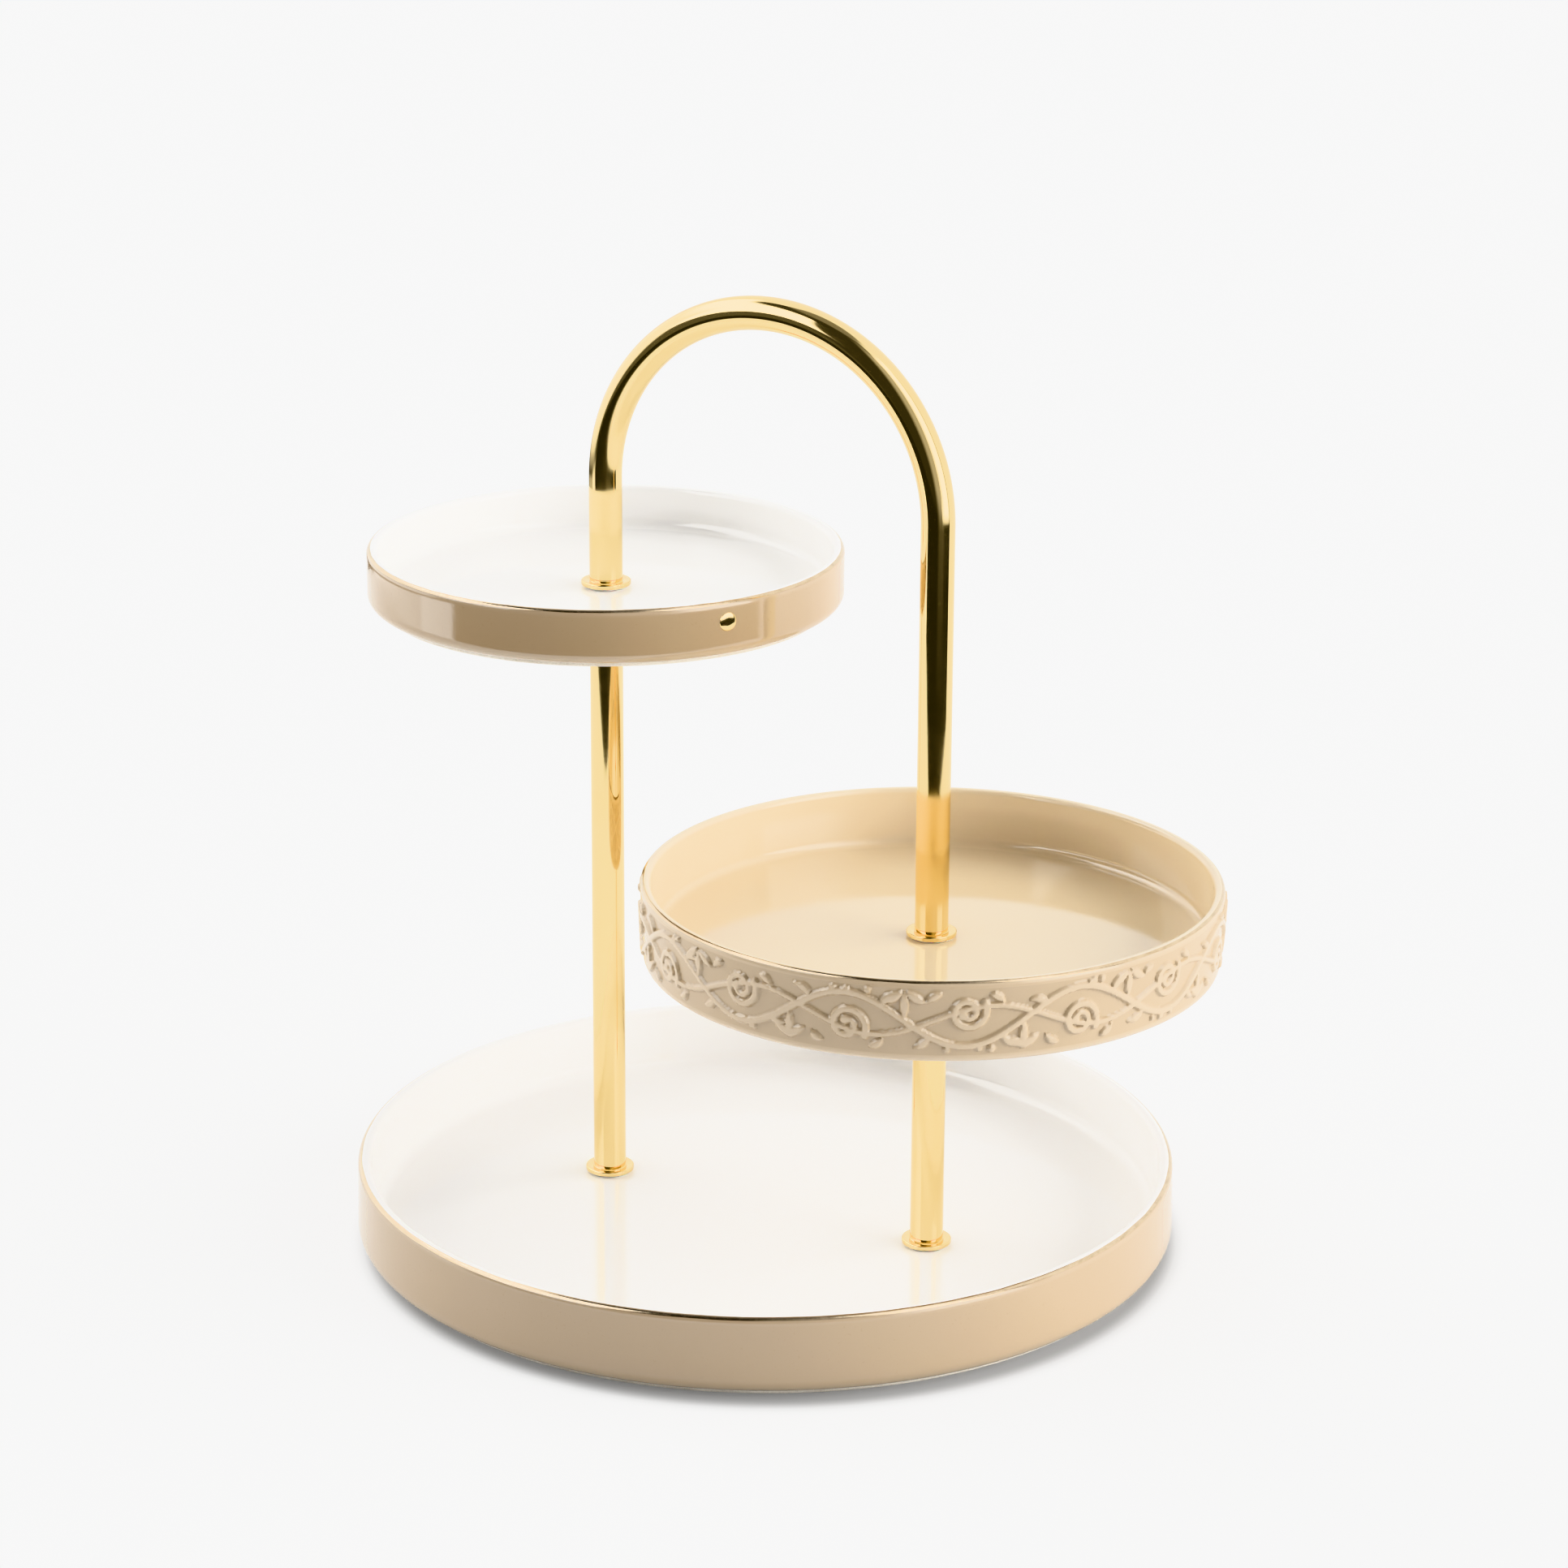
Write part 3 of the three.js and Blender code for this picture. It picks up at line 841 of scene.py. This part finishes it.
def white_paper():
    """Matt paper with a trace of tooth."""
    g = Graph("white_paper")
    tooth = g.noise(g.place(), size=0.004, detail=3)
    tint = g.ramp(tooth, [(0.3, (PAPER * 0.995,) * 3), (0.7, (PAPER,) * 3)])
    g.shader.inputs["Specular IOR Level"].default_value = 0.0
    g.shader.inputs["Emission Color"].default_value = (1, 1, 1, 1)
    away = g.node("ShaderNodeVectorMath", operation="DISTANCE")
    g.link(g.place(), away.inputs[0])
    away.inputs[1].default_value = SHADOW_CENTRE
    glow_share = g.spread(away.outputs["Value"], SHADOW_LIGHT, 1.0, *SHADOW_R)
    glow_share.node.interpolation_type = "SMOOTHSTEP"
    g.material.cycles.emission_sampling = "NONE"
    return g.finish(Base_Color=tint, Roughness=g.spread(tooth, 0.9, 1.0),
                    Emission_Strength=g.math("MULTIPLY", glow_share, PAPER_LIGHT))


def glow(name, strength):
    """A material that gives light, of plain strength or of an attribute's."""
    g = Graph(name)
    emission = g.node("ShaderNodeEmission")
    g.link(strength if not isinstance(strength, str) else g.attribute(strength), emission.inputs["Strength"])
    g.link(emission.outputs[0], g.tree.nodes["Material Output"].inputs["Surface"])
    g.material.cycles.emission_sampling = "NONE"
    return g.material


def seen_by(obj, *rays):
    """obj is visible only to these kinds of ray."""
    for ray in ("camera", "diffuse", "glossy", "transmission", "volume_scatter", "shadow"):
        setattr(obj, f"visible_{ray}", ray in rays)


def table_edge():
    """Points round the table: at each angle, the farther circle's."""
    angles = np.arange(TABLE_SIDES) * 2 * np.pi / TABLE_SIDES
    normals = np.stack([np.cos(angles), np.sin(angles), np.zeros(TABLE_SIDES)], axis=1)
    edges = [np.array([x, y, 0]) + radius * normals for x, y, radius in TABLE]
    first_is_farther = (edges[0] * normals).sum(axis=1) > (edges[1] * normals).sum(axis=1)
    return np.where(first_is_farther[:, None], *edges), normals


def floor_pieces(material):
    """The table, and the rest of the floor as a ring round it."""
    edge, normals = table_edge()
    near = new_piece("floor_near", edge, [tuple(range(TABLE_SIDES))], [material])
    ring = grid_faces(2, TABLE_SIDES, closed=False)
    far = new_piece("floor_far", np.concatenate([normals * FLOOR_SPAN, edge]), ring, [material])
    return near, far


def soft_box(azimuth, elevation, box, edge):
    """1 inside a box of directions, falling to 0 over edge degrees outside it."""
    az_low, az_high, el_low, el_high = box
    middle, half = (az_low + az_high) / 2, (az_high - az_low) / 2
    off = np.abs((azimuth - middle + 180) % 360 - 180) - half
    rise = np.maximum(el_low - elevation, elevation - el_high)
    return np.clip(1 - np.maximum(off, 0) / edge, 0, 1) * np.clip(1 - np.maximum(rise, 0) / edge, 0, 1)


def dome(name, room, cards, ray, radius, columns=360, rows=181):
    """A sphere that only one kind of ray sees, brighter and darker by direction."""
    azimuth = np.arange(columns) * 360 / columns
    elevation = np.linspace(-89.9, 89.9, rows)
    az, el = np.meshgrid(azimuth, elevation)
    light = np.full(az.shape, room)
    for box, edge, radiance in cards:
        share = soft_box(az, el, box, edge)
        light = light * (1 - share) + radiance * share
    az, el = np.radians(az), np.radians(el)
    points = radius * np.stack([np.sin(az) * np.cos(el), -np.cos(az) * np.cos(el), np.sin(el)], axis=-1)
    shell = new_piece(name, points.reshape(-1, 3), grid_faces(rows, columns, closed=False),
                      [glow(name, "light")], attributes={"light": light.ravel()})
    seen_by(shell, ray)
    return shell


def backdrop(radius=12.0):
    """What the camera sees beyond the floor."""
    bpy.ops.mesh.primitive_uv_sphere_add(radius=radius, segments=48, ring_count=24)
    shell = bpy.context.active_object
    shell.name = "backdrop"
    shell.data.materials.append(glow("backdrop_white", BACKDROP))
    seen_by(shell, "camera")
    return shell


paper = white_paper()
table, surround = floor_pieces(paper)
seen_by(table, "camera", "diffuse", "glossy", "transmission", "shadow")
seen_by(surround, "camera", "diffuse", "transmission", "shadow")
shine = dome("shine_dome", ROOM_SHINE, SHINE_CARDS, "glossy", 9.0)
matt_light = dome("light_dome", ROOM_LIGHT, LIGHT_CARDS, "diffuse", 60.0, columns=120, rows=61)
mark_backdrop(table, surround, shine, matt_light, backdrop())

world = bpy.data.worlds.new("studio")
world.use_nodes = True
world.node_tree.nodes["Background"].inputs["Strength"].default_value = 0.0
scene = bpy.context.scene
scene.world = world
scene.view_settings.view_transform = "Khronos PBR Neutral"
scene.view_settings.exposure = EXPOSURE

# ---- Camera ----

CAMERA_AT = Vector((0.7726, -1.3673, 0.6941))
CAMERA_HEADING = 29.25  # degrees from +Y towards -X
CAMERA_TILT = 18.43  # degrees below the horizon
CAMERA_ROLL = 0.34
LENS = 105.97

data = bpy.data.cameras.new("camera")
data.lens = LENS
data.sensor_width = 36
camera = bpy.data.objects.new("camera", data)
camera.rotation_mode = "QUATERNION"
turn = (
    Matrix.Rotation(math.radians(CAMERA_HEADING), 4, "Z")
    @ Matrix.Rotation(math.radians(90 - CAMERA_TILT), 4, "X")
    @ Matrix.Rotation(math.radians(CAMERA_ROLL), 4, "Z")
)
camera.matrix_world = Matrix.Translation(CAMERA_AT) @ turn
bpy.context.scene.collection.objects.link(camera)
bpy.context.scene.camera = camera

low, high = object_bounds()
